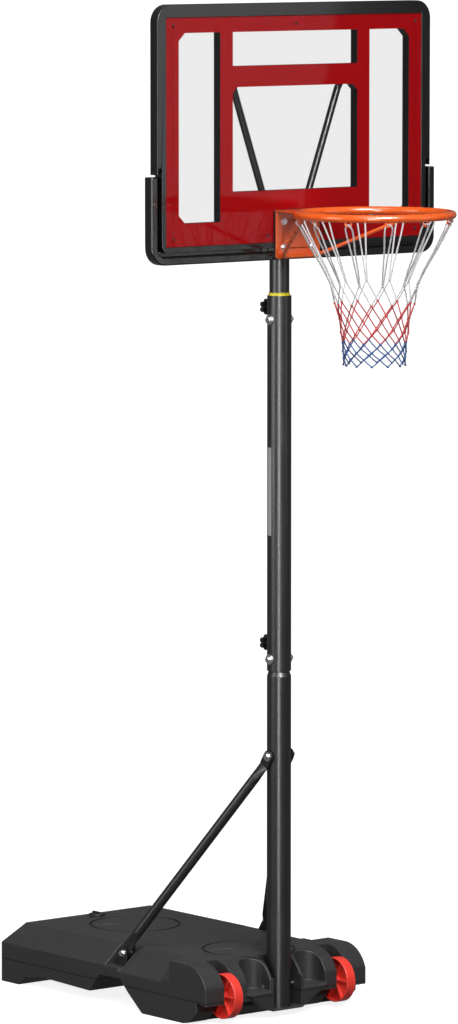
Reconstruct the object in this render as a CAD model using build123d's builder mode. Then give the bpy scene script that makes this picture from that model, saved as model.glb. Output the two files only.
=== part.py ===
"""A portable basketball hoop: a water-filled base on two wheels, a three-piece telescopic pole held
by two braces, a framed backboard, and a ring with a net.

Millimetres, +Z up. The court side is -Y. The origin is on the floor, under the middle of the hoop.
Places are given from the pole's axis, which the planes below put where it belongs.
"""

import os
from math import cos, radians, sin

from build123d import *

os.makedirs("parts", exist_ok=True)

# ---------------------------------------------------------------- driving dimensions
# Fits
slide_gap = 0.3  # between faces that slide past each other
running_gap = 0.05  # radial, round a turning shaft or screw
bolt_gap = 0.3  # radial, round a fixed bolt

# Base tank, a blow-moulded shell
tank_half_width = 325.0
tank_rear = 1016.0
tank_front = -39.0
tank_height = 190.0
tank_wall = 4.0
slope_half_width = 255.0  # the flat top ends here
fold_height = 128.0  # the sloped sides end here
rear_slope_run = 41.0
slope_front = 145.0  # in front of this the cheeks stand upright
lobe_rear = 283.0
lobe_front = 48.0
arch_height = 96.0
arch_front = 360.0
arch_rear = 501.0
belly_height = 38.0
rear_foot_length = 89.0
overhang_height = 68.0
brow_start = 60.0  # the top rounds down to the front face from here
brow_height = 118.0
toe_front = 9.0
panel_front = 184.0
panel_rear = 404.0
panel_depth = 9.0
groove_depth = 3.0
groove_width = 7.0
groove_radius = 148.0

# Pole socket, cup scoops and nose at the front of the tank
socket_side_gap = 18.0  # between the pole and the socket's side walls
socket_back_gap = 6.0
socket_floor = 29.0
nose_front = -45.0
nose_bottom = 23.0
nose_half_width = 162.0
nose_top = 86.0
scoop_x = 112.0
scoop_y = -12.0
scoop_radius = 46.0
scoop_floor = 90.0

# Wheels
wheel_x = 228.0
wheel_y = -13.0
wheel_radius = 71.0
wheel_lift = 17.5  # the wheels clear the floor until the base is tipped
wheel_width = 34.0
wheel_gap = 5.0
wheel_tread = 4.0
hub_radius = 14.0
wheel_slot_gap = 8.0  # behind the wheel
axle_radius = 5.0
axle_seat = 12.0

# Filling
filler_y = 930.0
filler_radius = 20.0
cap_radius = 27.0
ballast_surface = 158.0
cap_seat = 2.0  # the seal's thickness
cap_plate = 5.0
cap_skirt = 16.0
cap_skirt_wall = 2.5
finger_bar_width = 9.0
finger_bar_height = 6.0
seal_margin = 2.0  # the seal stays this far inside the cap's rim

# Pole tubes
pole_radius = 38.0
pole_wall = 1.5
upper_radius = 31.2
pole_foot = 32.0
shoulder_height = 1073.0
neck_start = 1086.0
neck_waist_radius = 33.5
middle_foot = 1090.0
neck_top = 1240.0
middle_top = 2262.0
upper_foot = 1780.0
upper_top = 2580.0
guide_lip = 2.4  # how far the guide ring's flange stands out from the upper tube
guide_flange_height = 9.0
guide_depth = 50.0
cap_flange = 3.0
cap_spigot_wall = 3.0
cap_spigot_length = 20.0
strip_low = 1515.0
strip_high = 1790.0
strip_skin = 0.3
foot_pin_height = 96.0
foot_pin_radius = 5.0
foot_pin_seat = 14.0

# Pole bolts and locking knobs
bolt_radius = 5.0
joint_bolt_height = 1127.0
lock_bolt_height = 2187.0
strut_bolt_height = 822.0
knob_heights = {"lower": 1172.0, "upper": 2223.0}
washer_radius = 15.5
washer_thickness = 2.5
hex_across = 17.0
hex_height = 7.0
saddle_height = 5.0
knob_radius = 25.0
knob_thickness = 15.0
knob_standoff = 16.0  # between the pole and the knob
knob_cap_height = 5.0
knob_boss = 3.0
stud_grip = 9.0  # how far the stud reaches into the knob
knob_lobes = 6
stud_radius = 5.0
weld_nut_height = 9.0
weld_nut_radius = 11.0
rise_travel = 300.0
drop_travel = 55.0

# Base struts
strut_radius = 16.0
strut_wall = 1.5
strut_standoff = 3.5  # between the pole and the strut's tab
strut_foot_x = 278.0
strut_foot_y = 424.0
strut_foot_height = 169.0
tab_thickness = 5.0
tab_half_width = 19.0
tab_length = 36.0
lug_inner = 16.0
lug_steel = 3.0
lug_half_length = 32.0
lug_pocket_margin = 5.0
lug_lean = 12.0  # the foot lies this far behind the eye
lug_eye = 17.0
lug_pocket_inset = 25.0  # from the strut's foot to the pocket's inner wall
lug_spacer_radius = 9.0

# Backboard
board_front = -81.0
sheet_half_width = 510.0
sheet_bottom = 2433.0
sheet_height = 695.0
sheet_thickness = 3.0
film_thickness = 0.5
frame_border = 35.0
frame_top_border = 40.0
frame_foot_border = 17.0
frame_depth = 36.0
frame_wall = 3.0
frame_corner = 54.0
guard_top = 2647.0
guard_outer = 566.0
guard_thickness = 24.0
guard_bottom = 2378.0
guard_web = 5.0
guard_corner = 53.0
channel_width = 15.0
column_half = 249.0
side_window_inner = 298.0
side_window_outer = 460.0
window_top = 47.0
window_bottom = 70.0
top_window_height = 104.0
centre_window_top = 215.0
centre_window_height = 320.0
window_chamfer = 24.0
screw_radius = 4.0
screw_head = 1.6
screw_length = 17.0
screw_margin_x = 27.0
screw_margin_z = 24.0

# Ring, its bracket and net
ring_height = 2532.0
ring_centre = -455.0
ring_radius = 236.5
ring_rod = 12.0
ring_wall = 2.0
plate_half_width = 88.0
plate_height = 150.0
plate_thickness = 4.0
spacer_thickness = 6.0
rim_bolt_x = 58.0
rim_bolt_rows = (2417.0, 2497.0)
rim_bolt_radius = 4.0
brace_rod = 6.0
hook_count = 12
hook_wire = 2.5
hook_radius = 9.0
net_skin = 3.0
net_gap = 16.0  # between the ring's middle and the net's top edge
net_steps = (
    (2350.0, 172.0),
    (2272.0, 128.0),
    (2215.0, 112.0),
    (2130.0, 100.0),
    (2065.0, 97.0),
)  # heights and inner radii below the hooks

# Backboard braces and the bracket on the upper pole
board_brace_radius = 11.0
board_brace_top_x = 222.0
board_brace_drop = 186.0  # from the sheet's top edge to the brace's upper eye
board_brace_foot = (73.0, 2530.0)
brace_tab_half = 14.0
bracket_bolt_rows = (2440.0, 2525.0)
bracket_half_width = 92.0
bracket_steel = 3.0
brace_tab_straight = 10.0
brace_taper = 35.0
wide_washer_radius = 11.0
wide_washer_thickness = 2.0
small_hex_across = 14.0
small_hex_height = 4.0

# ---------------------------------------------------------------- places that follow from those
ring_reach = ring_centre - ring_radius - ring_rod
pole_y = -(ring_reach + tank_rear) / 2
board_back = board_front + frame_depth
sheet_top = sheet_bottom + sheet_height
board_brace_top = (board_brace_top_x, sheet_top - board_brace_drop)
neck_radius = pole_radius - pole_wall - slide_gap
socket_half_width = pole_radius + socket_side_gap
socket_rear = pole_radius + socket_back_gap
foot_pin_half = socket_half_width + foot_pin_seat
strut_top_x = pole_radius + strut_standoff + tab_thickness / 2
knob_face = pole_radius + knob_standoff
guide_flange_radius = upper_radius + guide_lip
wheel_slot_rear = wheel_y + wheel_radius + wheel_slot_gap
lug_pocket_x = strut_foot_x - lug_pocket_inset
lug_outer = lug_inner + 2 * lug_steel
net_top = ring_height - ring_rod - 22
wheel_height = wheel_radius + wheel_lift
wheel_slot_half = wheel_width / 2 + wheel_gap
frame_top = sheet_top + frame_top_border
frame_bottom = sheet_bottom - frame_foot_border
frame_half = sheet_half_width + frame_border
guard_inner = guard_outer - guard_thickness
guard_inner_bottom = guard_bottom + guard_thickness
lip_half = guard_inner - channel_width
over_top = guard_top + 10  # cuts run past the guard's open ends
block_half = plate_half_width
spacer_front = board_front - spacer_thickness
plate_front = spacer_front - plate_thickness
plate_bottom = ring_height - plate_height
sides = (("left", -1), ("right", 1))


def level(height):
    """A level plane at a height, centred on the pole."""
    return Plane((0, pole_y, height))


def facing(depth):
    """An upright plane that faces the court, at a depth behind the pole's axis."""
    return Plane((0, pole_y + depth, 0), x_dir=(1, 0, 0), z_dir=(0, -1, 0))


def sideways(across):
    """An upright plane that faces +X; its own x runs back and its y runs up."""
    return Plane((across, pole_y, 0), x_dir=(0, 1, 0), z_dir=(1, 0, 0))


def save(part, name):
    part.label = name
    export_step(part, f"parts/{name}.step")


# ---------------------------------------------------------------- base tank
slope_run = tank_half_width - slope_half_width
slope_drop = tank_height - fold_height
slope_length = (slope_run**2 + slope_drop**2) ** 0.5
slope_normal = (slope_drop / slope_length, slope_run / slope_length)


def slope_waste(sign, front, rear, depth):
    """What is cut from one side's slope over a length, at a depth under the tank's own slope."""
    along_x = slope_run / slope_length
    along_z = -slope_drop / slope_length
    overshoot = 60
    top_x = slope_half_width - depth * slope_normal[0] - overshoot * along_x
    top_z = tank_height - depth * slope_normal[1] - overshoot * along_z
    foot_x = tank_half_width - depth * slope_normal[0] + overshoot * along_x
    foot_z = fold_height - depth * slope_normal[1] + overshoot * along_z
    with BuildPart() as waste:
        with BuildSketch(facing(rear)):
            with BuildLine():
                Polyline(
                    (sign * top_x, top_z),
                    (sign * foot_x, foot_z),
                    (sign * foot_x, top_z),
                    close=True,
                )
            make_face()
        extrude(amount=rear - front)
    return waste.part


def tank_form(inset):
    """The tank without its slots and scoops, with every face moved in by an inset."""
    with BuildPart() as form:
        with BuildSketch(sideways(0)):
            with BuildLine():
                Polyline(
                    (tank_front, brow_height),
                    (tank_front, overhang_height - 2),
                    (toe_front, overhang_height + 5),
                    (toe_front, 40),
                    (lobe_front, 6),
                    (lobe_front + 30, 0),
                    (lobe_rear, 0),
                    (arch_front - 4, 58),
                    (arch_front + 36, arch_height),
                    (arch_rear, arch_height - 3),
                    (arch_rear + 50, belly_height - 4),
                    (tank_rear - rear_foot_length - 130, belly_height + 3),
                    (tank_rear - rear_foot_length - 41, belly_height - 9),
                    (tank_rear - rear_foot_length, 0),
                    (tank_rear, 0),
                    (tank_rear, fold_height),
                    (tank_rear - rear_slope_run, tank_height),
                    (brow_start, tank_height),
                )
                TangentArc(
                    (brow_start, tank_height), (tank_front, brow_height), tangent=(-1, 0)
                )
            make_face()
            if inset:
                offset(amount=-inset)
        extrude(amount=tank_half_width - inset, both=True)
        for _, sign in sides:
            slope = slope_waste(sign, slope_front - inset, tank_rear, inset)
            add(slope, mode=Mode.SUBTRACT)
            panel = slope_waste(
                sign, panel_front - inset, panel_rear + inset, panel_depth + inset
            )
            add(panel, mode=Mode.SUBTRACT)
    return form.part


def nose_form(inset):
    """The block under the front face that the pole stands in."""
    with BuildPart() as nose:
        with BuildSketch(facing(nose_front + inset)):
            with BuildLine():
                Polyline(
                    (-nose_half_width + inset, nose_top - inset),
                    (-socket_half_width - 4 + inset, nose_bottom + inset),
                    (socket_half_width + 4 - inset, nose_bottom + inset),
                    (nose_half_width - inset, nose_top - inset),
                    close=True,
                )
            make_face()
        extrude(amount=-(lobe_front + 20 - nose_front - inset))
        # the pillars on both sides of the socket stand as far out as the nose
        with BuildSketch(facing(nose_front + inset)):
            with Locations((0, (nose_top + fold_height) / 2 - 6)):
                Rectangle(2 * (socket_half_width + 8), fold_height - nose_top + 12)
        extrude(amount=-40)
    return nose.part


def tank_hollows(grow):
    """Everything cut from the tank's outside, grown by the wall for the chamber."""
    with BuildPart() as hollows:
        with BuildSketch(level(socket_floor - grow)):
            with Locations((0, (nose_front + socket_rear) / 2 - 20)):
                Rectangle(
                    2 * (socket_half_width + grow),
                    socket_rear - nose_front + 40 + 2 * grow,
                )
            with Locations((0, socket_rear + grow)):
                Rectangle(2 * (pole_radius + grow), 2 * grow + 1)
        extrude(amount=tank_height)
        for _, sign in sides:
            with BuildSketch(level(scoop_floor - grow)):
                with Locations((sign * scoop_x, scoop_y)):
                    Circle(scoop_radius + grow)
                with Locations((sign * scoop_x, scoop_y - 40)):
                    Rectangle(2 * (scoop_radius + grow), 80)
            extrude(amount=tank_height)
            with BuildSketch(level(-20)):
                with Locations((sign * wheel_x, (wheel_slot_rear - 120) / 2)):
                    Rectangle(
                        2 * (wheel_slot_half + grow), wheel_slot_rear + 120 + 2 * grow
                    )
            extrude(amount=tank_height + 60)
            with BuildSketch(level(fold_height - grow)):
                with Locations((sign * (lug_pocket_x + 50), strut_foot_y + lug_lean)):
                    Rectangle(
                        100 + 2 * grow,
                        2 * (lug_half_length + lug_pocket_margin + grow),
                    )
            extrude(amount=tank_height)
    return hollows.part


def axle_line(sign, radius, seat):
    """A rod along a wheel's axis that reaches into the tank on both sides."""
    with BuildPart() as line:
        with BuildSketch(sideways(sign * wheel_x)):
            with Locations((wheel_y, wheel_height)):
                Circle(radius)
        extrude(amount=wheel_slot_half + seat, both=True)
    return line.part


def pole_cross_rod(height, radius, half_length):
    """A rod along X through the pole's axis."""
    with BuildPart() as rod:
        with BuildSketch(sideways(0)):
            with Locations((0, height)):
                Circle(radius)
        extrude(amount=half_length, both=True)
    return rod.part


tank_outer = tank_form(0)
tank_inner = tank_form(tank_wall)
nose_outer = nose_form(0)
outer_hollows = tank_hollows(0)
inner_hollows = tank_hollows(tank_wall)

with BuildPart() as chamber:
    add(tank_inner)
    add(inner_hollows, mode=Mode.SUBTRACT)
    add(nose_outer, mode=Mode.SUBTRACT)
    for _, sign in sides:
        add(
            axle_line(sign, axle_radius + tank_wall, axle_seat + tank_wall),
            mode=Mode.SUBTRACT,
        )
    add(
        pole_cross_rod(
            foot_pin_height, foot_pin_radius + tank_wall, foot_pin_half + tank_wall
        ),
        mode=Mode.SUBTRACT,
    )
    with BuildSketch(level(fold_height)):
        with Locations((0, filler_y)):
            Circle(filler_radius + tank_wall)
            Circle(filler_radius, mode=Mode.SUBTRACT)
    extrude(amount=tank_height, mode=Mode.SUBTRACT)
chamber_solid = max(chamber.part.solids(), key=lambda solid: solid.volume)

with BuildPart() as base_tank:
    add(tank_outer)
    add(nose_outer)
    add(outer_hollows, mode=Mode.SUBTRACT)
    add(chamber_solid, mode=Mode.SUBTRACT)
    for _, sign in sides:
        add(axle_line(sign, axle_radius, axle_seat), mode=Mode.SUBTRACT)
    add(
        pole_cross_rod(foot_pin_height, foot_pin_radius, foot_pin_half),
        mode=Mode.SUBTRACT,
    )
    # filling hole
    with BuildSketch(level(fold_height)):
        with Locations((0, filler_y)):
            Circle(filler_radius)
    extrude(amount=tank_height, mode=Mode.SUBTRACT)
    # moulded rings and rays on the top
    for centre_y in (groove_radius + 2, 730):
        with BuildSketch(level(tank_height)):
            with Locations((0, centre_y)):
                Circle(groove_radius)
                Circle(groove_radius - groove_width, mode=Mode.SUBTRACT)
                with PolarLocations(groove_radius * 0.6, 3, start_angle=30):
                    SlotOverall(groove_radius * 0.55, groove_width)
            with Locations((0, tank_front)):
                Rectangle(2 * slope_half_width, 220, mode=Mode.SUBTRACT)
        extrude(amount=-groove_depth, mode=Mode.SUBTRACT)
save(base_tank.part, "base_tank")

with BuildPart() as ballast_water:
    add(chamber_solid)
    split(bisect_by=level(ballast_surface), keep=Keep.BOTTOM)
save(ballast_water.part, "ballast_water")

# ---------------------------------------------------------------- fill cap and its seal
with BuildPart() as cap_seal:
    with BuildSketch(level(tank_height)):
        with Locations((0, filler_y)):
            Circle(cap_radius - seal_margin)
            Circle(filler_radius, mode=Mode.SUBTRACT)
    extrude(amount=cap_seat)
save(cap_seal.part, "cap_seal")

with BuildPart() as fill_cap:
    with BuildSketch(level(tank_height + cap_seat)):
        with Locations((0, filler_y)):
            Circle(cap_radius)
    extrude(amount=cap_plate)
    chamfer(fill_cap.edges().group_by(Axis.Z)[-1], 1.5)
    with BuildSketch(level(tank_height + cap_seat)):
        with Locations((0, filler_y)):
            Circle(filler_radius - slide_gap)
            Circle(filler_radius - slide_gap - cap_skirt_wall, mode=Mode.SUBTRACT)
    extrude(amount=-cap_skirt)
    # finger bar across the top
    with BuildSketch(level(tank_height + cap_seat + cap_plate)):
        with Locations((0, filler_y)):
            SlotOverall(2 * cap_radius - 10, finger_bar_width, rotation=90)
    extrude(amount=finger_bar_height)
save(fill_cap.part, "fill_cap")

# ---------------------------------------------------------------- wheels and axles
for side, sign in sides:
    with BuildPart() as axle:
        add(axle_line(sign, axle_radius, axle_seat))
    save(axle.part, f"wheel_axle_{side}")

    with BuildPart() as wheel:
        with BuildSketch(sideways(sign * wheel_x)):
            with Locations((wheel_y, wheel_height)):
                Circle(wheel_radius)
                Circle(wheel_radius - wheel_tread, mode=Mode.SUBTRACT)
                Circle(hub_radius)
        extrude(amount=wheel_width / 2, both=True)
        with BuildSketch(sideways(sign * wheel_x)):
            with Locations((wheel_y, wheel_height)):
                Circle(wheel_radius - 1)
        extrude(amount=2, both=True)
        # six ribs on each face, from hub to tread
        with BuildSketch(sideways(sign * wheel_x)):
            with Locations((wheel_y, wheel_height)):
                with PolarLocations((hub_radius + wheel_radius) / 2 - 2, 6):
                    Rectangle(wheel_radius - hub_radius, 4)
        extrude(amount=wheel_width / 2 - 5, both=True)
        with BuildSketch(sideways(sign * wheel_x)):
            with Locations((wheel_y, wheel_height)):
                Circle(axle_radius + running_gap)
        extrude(amount=wheel_width, both=True, mode=Mode.SUBTRACT)
        tread_edges = wheel.edges().filter_by(
            lambda edge: edge.geom_type == GeomType.CIRCLE
            and abs(edge.radius - wheel_radius) < 0.01
        )
        fillet(tread_edges, 2.5)
    save(wheel.part, f"wheel_{side}")

# ---------------------------------------------------------------- pole tubes
with BuildPart() as foot_cap:
    with BuildSketch(level(socket_floor)):
        Circle(pole_radius)
    extrude(amount=cap_flange)
    with BuildSketch(level(socket_floor + cap_flange)):
        Circle(pole_radius - pole_wall)
        Circle(pole_radius - pole_wall - cap_spigot_wall, mode=Mode.SUBTRACT)
    extrude(amount=cap_spigot_length)
save(foot_cap.part, "pole_foot_cap")

with BuildPart() as lower_pole:
    with BuildSketch(sideways(0)):
        with BuildLine():
            Polyline(
                (pole_radius - pole_wall, pole_foot),
                (pole_radius, pole_foot),
                (pole_radius, shoulder_height),
                (neck_waist_radius, neck_start),
                (neck_waist_radius, middle_foot + 2),
                (neck_radius, middle_foot + 8),
                (neck_radius, neck_top),
                (neck_radius - pole_wall, neck_top),
                (neck_radius - pole_wall, middle_foot + 8),
                (neck_waist_radius - pole_wall, middle_foot + 2),
                (neck_waist_radius - pole_wall, neck_start - 1),
                (pole_radius - pole_wall, shoulder_height - 1),
                close=True,
            )
        make_face()
    revolve(axis=Axis((0, pole_y, 0), (0, 0, 1)))
    for height, radius in (
        (foot_pin_height, foot_pin_radius),
        (strut_bolt_height, bolt_radius),
        (joint_bolt_height, bolt_radius),
    ):
        add(
            pole_cross_rod(height, radius + bolt_gap, pole_radius + 5),
            mode=Mode.SUBTRACT,
        )
save(lower_pole.part, "lower_pole")

with BuildPart() as middle_pole:
    with BuildSketch(level(middle_foot)):
        Circle(pole_radius)
        Circle(pole_radius - pole_wall, mode=Mode.SUBTRACT)
    extrude(amount=middle_top - middle_foot)
    for height in (joint_bolt_height, lock_bolt_height):
        add(
            pole_cross_rod(height, bolt_radius + bolt_gap, pole_radius + 5),
            mode=Mode.SUBTRACT,
        )
    for height in knob_heights.values():
        with BuildSketch(facing(0)):
            with Locations((0, height)):
                Circle(stud_radius + running_gap)
        extrude(amount=-pole_radius - 5, mode=Mode.SUBTRACT)
save(middle_pole.part, "middle_pole")

with BuildPart() as guide_ring:
    with BuildSketch(level(middle_top)):
        Circle(guide_flange_radius)
        Circle(upper_radius + slide_gap, mode=Mode.SUBTRACT)
    extrude(amount=guide_flange_height)
    chamfer(guide_ring.edges().group_by(Axis.Z)[-1].sort_by(Edge.length)[-1], 1.5)
    with BuildSketch(level(middle_top)):
        Circle(pole_radius - pole_wall)
        Circle(upper_radius + slide_gap, mode=Mode.SUBTRACT)
    extrude(amount=-guide_depth)
    # the knob's stud and the lock bolt pass through the ring's sleeve
    with BuildSketch(facing(0)):
        with Locations((0, knob_heights["upper"])):
            Circle(stud_radius + running_gap)
    extrude(amount=-pole_radius - 5, mode=Mode.SUBTRACT)
save(guide_ring.part, "guide_ring")

with BuildPart() as upper_pole:
    with BuildSketch(level(upper_foot)):
        Circle(upper_radius)
        Circle(upper_radius - pole_wall, mode=Mode.SUBTRACT)
    extrude(amount=upper_top - upper_foot)
    # the lock bolt runs in a pair of long slots while the height changes
    slot_low = lock_bolt_height - rise_travel
    slot_high = lock_bolt_height + drop_travel
    with BuildSketch(sideways(0)):
        with Locations((0, (slot_low + slot_high) / 2)):
            SlotCenterToCenter(
                slot_high - slot_low, 2 * (bolt_radius + 2 * bolt_gap), rotation=90
            )
    extrude(amount=upper_radius + 5, both=True, mode=Mode.SUBTRACT)
    for height in bracket_bolt_rows:
        add(
            pole_cross_rod(height, bolt_radius + bolt_gap, upper_radius + 5),
            mode=Mode.SUBTRACT,
        )
save(upper_pole.part, "upper_pole")

for name, height, radius, direction in (
    ("upper_pole_top_cap", upper_top, upper_radius, -1),
    ("upper_pole_foot_cap", upper_foot, upper_radius, 1),
):
    with BuildPart() as cap:
        with BuildSketch(level(height)):
            Circle(radius)
        extrude(amount=-direction * cap_flange)
        with BuildSketch(level(height)):
            Circle(radius - pole_wall)
            Circle(radius - pole_wall - cap_spigot_wall, mode=Mode.SUBTRACT)
        extrude(amount=direction * cap_spigot_length)
    save(cap.part, name)

with BuildPart() as foot_pin:
    add(pole_cross_rod(foot_pin_height, foot_pin_radius, foot_pin_half))
save(foot_pin.part, "foot_pin")

# a blank pale strip stuck on the middle tube
with BuildPart() as blank_strip:
    with BuildSketch(level(strip_low)):
        Circle(pole_radius + strip_skin)
        Circle(pole_radius, mode=Mode.SUBTRACT)
        with BuildLine():
            Polyline((0, 0), (-80, -14), (-80, 95), close=True)
        make_face(mode=Mode.INTERSECT)
    extrude(amount=strip_high - strip_low)
save(blank_strip.part, "blank_strip")


# ---------------------------------------------------------------- locking knobs
def turned_along_y(depth):
    """An upright plane behind the pole that faces back, so that extrusions go back."""
    return Plane((0, pole_y + depth, 0), x_dir=(-1, 0, 0), z_dir=(0, 1, 0))


with BuildPart() as weld_nuts:
    for height in knob_heights.values():
        with BuildSketch(turned_along_y(pole_radius - pole_wall)):
            with Locations((0, height)):
                RegularPolygon(weld_nut_radius, 6, rotation=30)
                Circle(stud_radius + running_gap, mode=Mode.SUBTRACT)
        extrude(amount=weld_nut_height + pole_wall)
    # the nuts are trimmed to sit on the round tube
    with BuildSketch(level(middle_foot)):
        Circle(pole_radius)
    extrude(amount=middle_top - middle_foot, mode=Mode.SUBTRACT)
save(weld_nuts.part, "knob_weld_nuts")

for name, grip in (("lower", neck_radius), ("upper", upper_radius)):
    height = knob_heights[name]
    with BuildPart() as stud:
        with BuildSketch(turned_along_y(grip + slide_gap)):
            with Locations((0, height)):
                Circle(stud_radius)
        extrude(amount=knob_face + stud_grip - grip - slide_gap)
    save(stud.part, f"knob_stud_{name}")

    with BuildPart() as knob:
        with BuildSketch(turned_along_y(knob_face)):
            with Locations((0, height)):
                Circle(knob_radius * 0.74)
                with PolarLocations(knob_radius * 0.68, knob_lobes, start_angle=90):
                    Circle(knob_radius * 0.32)
        extrude(amount=knob_thickness)
        fillet(knob.edges().group_by(Axis.Y)[-1], 2.5)
        with BuildSketch(turned_along_y(knob_face + knob_thickness)):
            with Locations((0, height)):
                Circle(knob_radius * 0.4)
        extrude(amount=knob_cap_height)
        fillet(knob.edges().group_by(Axis.Y)[-1], 2)
        # boss towards the pole
        with BuildSketch(turned_along_y(knob_face)):
            with Locations((0, height)):
                Circle(knob_radius * 0.4)
        extrude(amount=-knob_boss)
        with BuildSketch(turned_along_y(knob_face - knob_boss)):
            with Locations((0, height)):
                Circle(stud_radius + running_gap)
        extrude(amount=knob_boss + stud_grip + running_gap, mode=Mode.SUBTRACT)
    save(knob.part, f"knob_{name}")


# ---------------------------------------------------------------- bolts through the pole
def head_and_nut(height, stack, y=0.0):
    """Washer and hex head on -X, washer and nut on +X, and the shank between, along X."""
    with BuildPart() as bolt:
        for sign in (-1, 1):
            with BuildSketch(sideways(sign * stack)):
                with Locations((y, height)):
                    Circle(washer_radius)
            extrude(amount=sign * washer_thickness)
            with BuildSketch(sideways(sign * (stack + washer_thickness))):
                with Locations((y, height)):
                    RegularPolygon(hex_across / 2, 6, major_radius=False)
            extrude(amount=sign * hex_height)
        with BuildSketch(sideways(0)):
            with Locations((y, height)):
                Circle(bolt_radius)
        extrude(amount=stack + washer_thickness + hex_height + 5, both=True)
        # the head's side has no thread end standing out
        with BuildSketch(sideways(-(stack + washer_thickness + hex_height))):
            with Locations((y, height)):
                Circle(bolt_radius + 1)
        extrude(amount=-10, mode=Mode.SUBTRACT)
    return bolt.part


saddle_stack = pole_radius + saddle_height - 3
with BuildPart() as saddle_washers:
    for height in (joint_bolt_height, lock_bolt_height):
        for sign in (-1, 1):
            with BuildSketch(sideways(0)):
                with Locations((0, height)):
                    Circle(washer_radius + 1)
                    Circle(bolt_radius + bolt_gap, mode=Mode.SUBTRACT)
            extrude(amount=sign * saddle_stack)
    with BuildSketch(level(middle_foot)):
        Circle(pole_radius)
    extrude(amount=middle_top - middle_foot, mode=Mode.SUBTRACT)
save(saddle_washers.part, "saddle_washers")

for name, height in (("joint_bolt", joint_bolt_height), ("lock_bolt", lock_bolt_height)):
    save(head_and_nut(height, saddle_stack), name)

strut_stack = strut_top_x + tab_thickness / 2
save(head_and_nut(strut_bolt_height, strut_stack), "strut_top_bolt")

# spacers between the pole's round side and the strut tabs
with BuildPart() as strut_spacers:
    for sign in (-1, 1):
        with BuildSketch(sideways(0)):
            with Locations((0, strut_bolt_height)):
                Circle(11)
                Circle(bolt_radius + bolt_gap, mode=Mode.SUBTRACT)
        extrude(amount=sign * (strut_top_x - tab_thickness / 2))
    with BuildSketch(level(strut_bolt_height - 50)):
        Circle(pole_radius)
    extrude(amount=100, mode=Mode.SUBTRACT)
save(strut_spacers.part, "strut_spacers")


# ---------------------------------------------------------------- base struts
def pressed_tube(foot_eye, top_eye, press, tab, tube, hole_radius, shift=Vector(0, 0, 0)):
    """A straight tube pressed flat at both ends, each end with an eye.

    press is the eyes' axis, tab is (half width, straight length, taper), tube is (radius, wall),
    and shift moves the tube off the line between the eyes.
    """
    half_width, straight, taper = tab
    radius, wall = tube
    reach = (top_eye - foot_eye).normalized()
    flat = (reach - press * reach.dot(press)).normalized()
    across = flat.cross(press)
    foot_tube = foot_eye + flat * straight + shift + reach * taper
    top_tube = top_eye - flat * straight + shift - reach * taper
    run = top_tube - foot_tube
    with BuildPart() as pressed:
        with BuildSketch(Plane(foot_tube, x_dir=across, z_dir=run)):
            Circle(radius)
        extrude(amount=run.length)
        for eye, tube_end, away in ((foot_eye, foot_tube, 1), (top_eye, top_tube, -1)):
            neck = eye + flat * straight * away
            with BuildSketch(Plane(neck, x_dir=across, z_dir=flat * away)):
                Ellipse(half_width, tab_thickness / 2)
            with BuildSketch(Plane(tube_end, x_dir=across, z_dir=run * away)):
                Circle(radius)
            loft()
            with BuildSketch(
                Plane(eye - press * tab_thickness / 2, x_dir=flat * away, z_dir=press)
            ):
                Circle(half_width)
                with Locations((straight / 2, 0)):
                    Rectangle(straight, 2 * half_width)
            extrude(amount=tab_thickness)
            with BuildSketch(Plane(eye - press * 30, x_dir=flat, z_dir=press)):
                Circle(hole_radius)
            extrude(amount=60, mode=Mode.SUBTRACT)
        bore_start = foot_tube + run.normalized() * 6
        with BuildSketch(Plane(bore_start, x_dir=across, z_dir=run)):
            Circle(radius - wall)
        extrude(amount=run.length - 12, mode=Mode.SUBTRACT)
    return pressed.part


for side, sign in sides:
    strut = pressed_tube(
        Vector(sign * strut_foot_x, pole_y + strut_foot_y, strut_foot_height),
        Vector(sign * strut_top_x, pole_y, strut_bolt_height),
        Vector(1, 0, 0),
        (tab_half_width, tab_length, 3 * strut_radius),
        (strut_radius, strut_wall),
        bolt_radius + bolt_gap,
    )
    save(strut, f"base_strut_{side}")

# ---------------------------------------------------------------- lugs that hold the struts' feet


def lug_profile(shift_y=0.0, shift_z=0.0):
    """A lug seen from its side: an eye on a wide foot."""
    foot_y = strut_foot_y + lug_lean + shift_y
    with BuildSketch() as profile:
        with Locations((strut_foot_y + shift_y, strut_foot_height + shift_z)):
            Circle(lug_eye)
        with Locations((foot_y, fold_height + 1 + shift_z)):
            Rectangle(2 * lug_half_length, 2)
        make_hull()
    return profile.sketch


with BuildPart() as strut_lugs:
    for _, sign in sides:
        with BuildSketch(sideways(sign * strut_foot_x)):
            add(lug_profile())
        extrude(amount=lug_outer / 2, both=True)
        with BuildSketch(sideways(sign * strut_foot_x)):
            add(lug_profile(-6, 5))
            with Locations((strut_foot_y, strut_foot_height)):
                Circle(lug_eye + 3)
        extrude(amount=lug_inner / 2, both=True, mode=Mode.SUBTRACT)
        with BuildSketch(sideways(sign * strut_foot_x)):
            with Locations((strut_foot_y, strut_foot_height)):
                Circle(bolt_radius + bolt_gap)
        extrude(amount=lug_outer, both=True, mode=Mode.SUBTRACT)
save(strut_lugs.part, "strut_lugs")

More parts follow.
